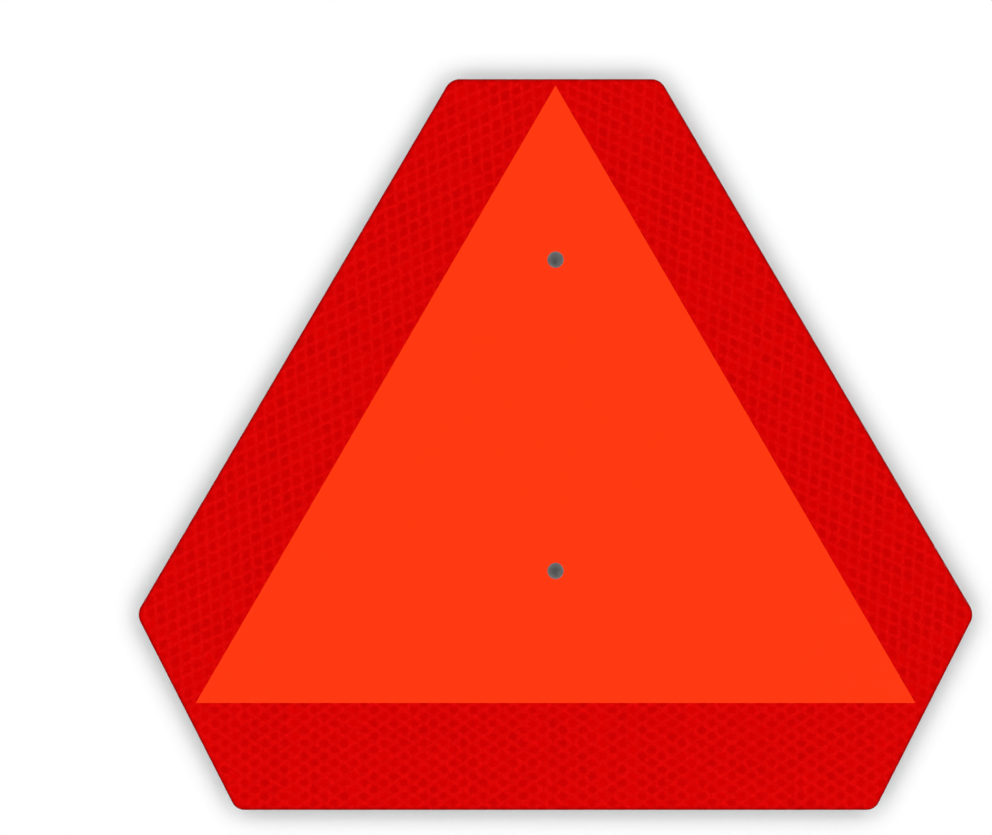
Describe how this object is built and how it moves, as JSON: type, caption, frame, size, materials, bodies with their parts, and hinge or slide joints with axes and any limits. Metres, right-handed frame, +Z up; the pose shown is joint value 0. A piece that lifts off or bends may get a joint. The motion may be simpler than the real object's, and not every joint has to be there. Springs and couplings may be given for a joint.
{
  "type": "slow moving vehicle sign",
  "caption": "Flat warning sign with clipped corners: fluorescent orange-red triangle inside a red prismatic reflective border, bolted to the rear of a slow vehicle.",
  "frame": {"origin": "midway between the two mounting holes, on the back face of the metal blank", "axes": "-Y out of the front face towards following traffic, +Z up, +X to the right seen from the front"},
  "size_m": [0.406, 0.0014, 0.3559],
  "materials": {
    "sheet_metal": "mill finish",
    "fluorescent_film": "smooth fluorescent film",
    "reflective_film": "prismatic reflective film"
  },
  "bodies": {
    "root": {"base_plate": "sheet_metal", "centre_triangle": "fluorescent_film", "bottom_border_strip": "reflective_film", "left_border_strip": "reflective_film", "right_border_strip": "reflective_film"}
  },
  "joints": []
}
